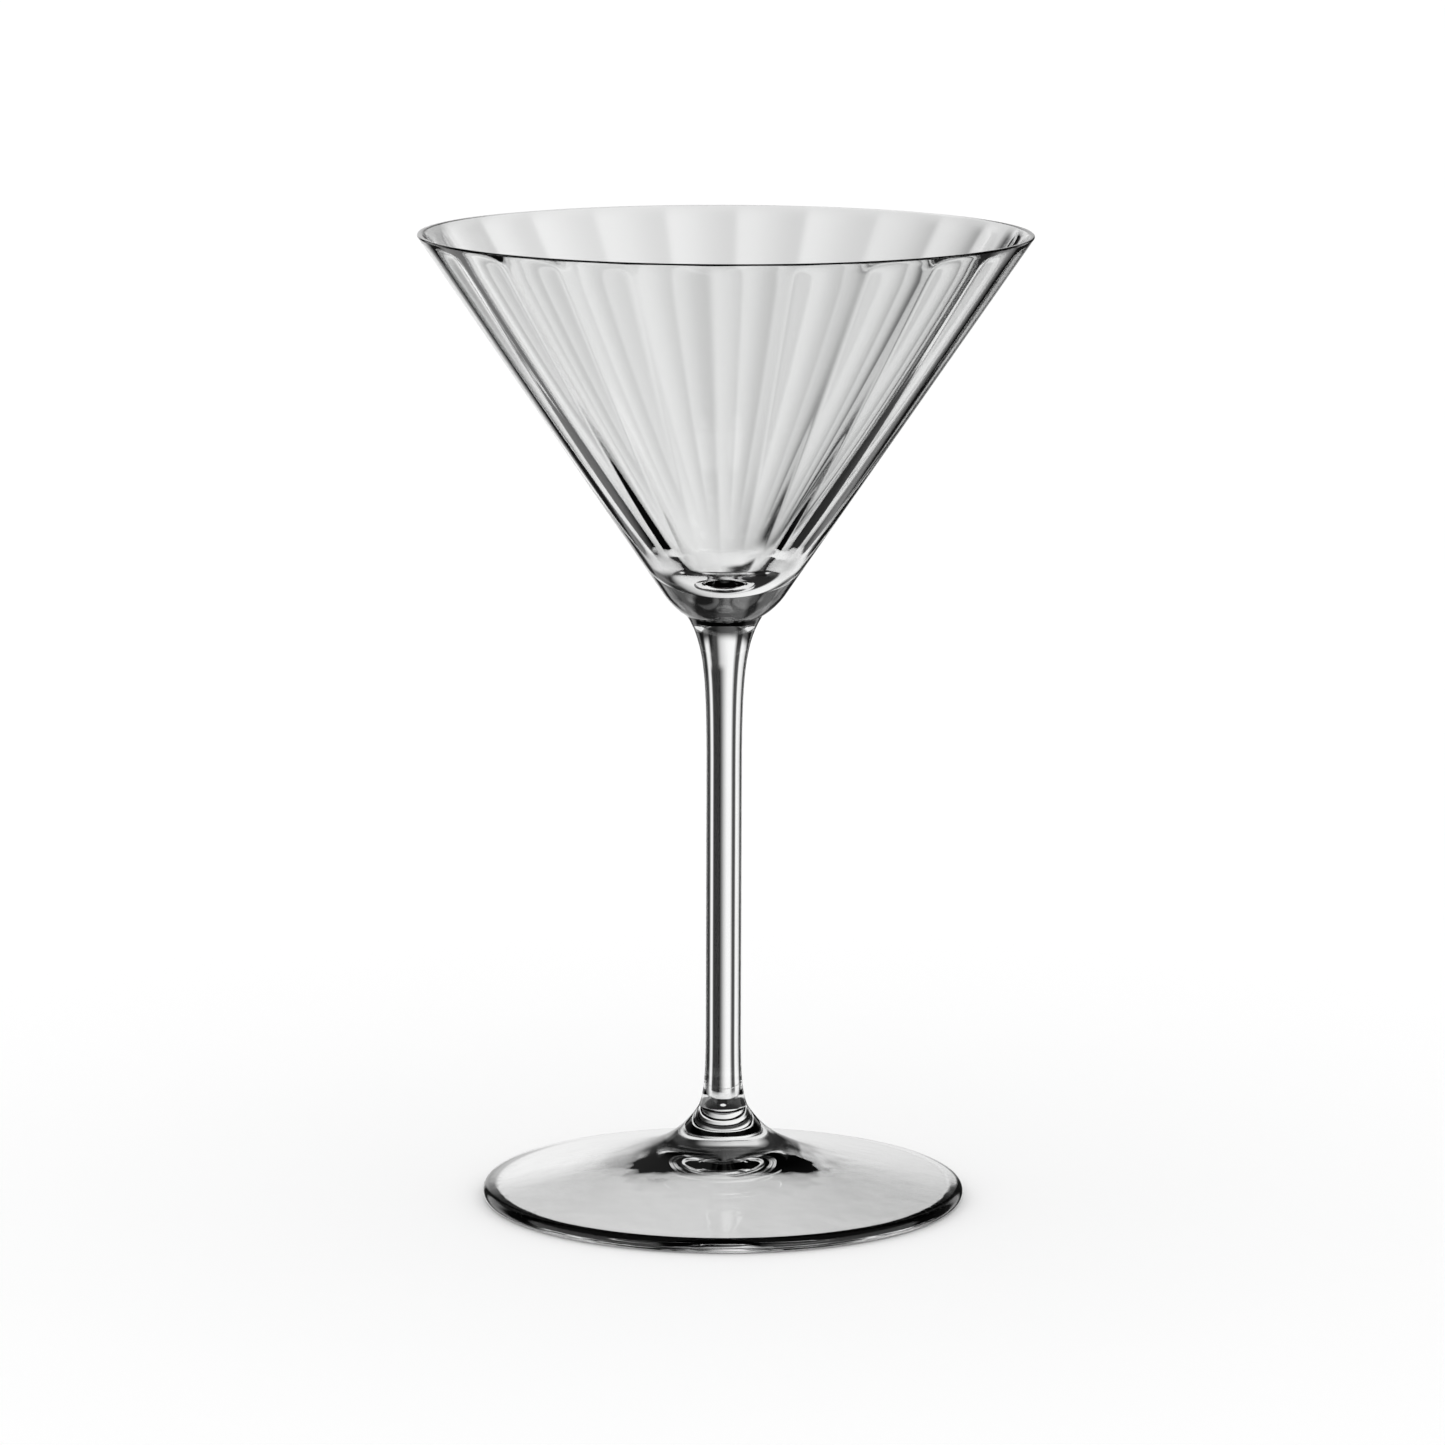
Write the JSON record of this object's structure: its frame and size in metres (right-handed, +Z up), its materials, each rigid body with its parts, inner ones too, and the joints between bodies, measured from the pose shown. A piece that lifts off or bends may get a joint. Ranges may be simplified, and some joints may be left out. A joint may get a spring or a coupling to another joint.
{
  "type": "martini glass",
  "caption": "Stemmed cocktail glass with a wide conical bowl, shallow upright flutes inside it, a slim flared stem and a round domed foot.",
  "frame": {"origin": "on the table under the middle of the foot", "axes": "+Z up along the stem to the bowl's rim; -Y is the side seen from the front"},
  "size_m": [0.11, 0.11, 0.176],
  "materials": {
    "bowl_glass": "clear, fire-polished",
    "stem_glass": "clear, fire-polished",
    "foot_glass": "clear, fire-polished"
  },
  "bodies": {
    "root": {"bowl": "bowl_glass", "stem": "stem_glass", "foot": "foot_glass"}
  },
  "joints": []
}
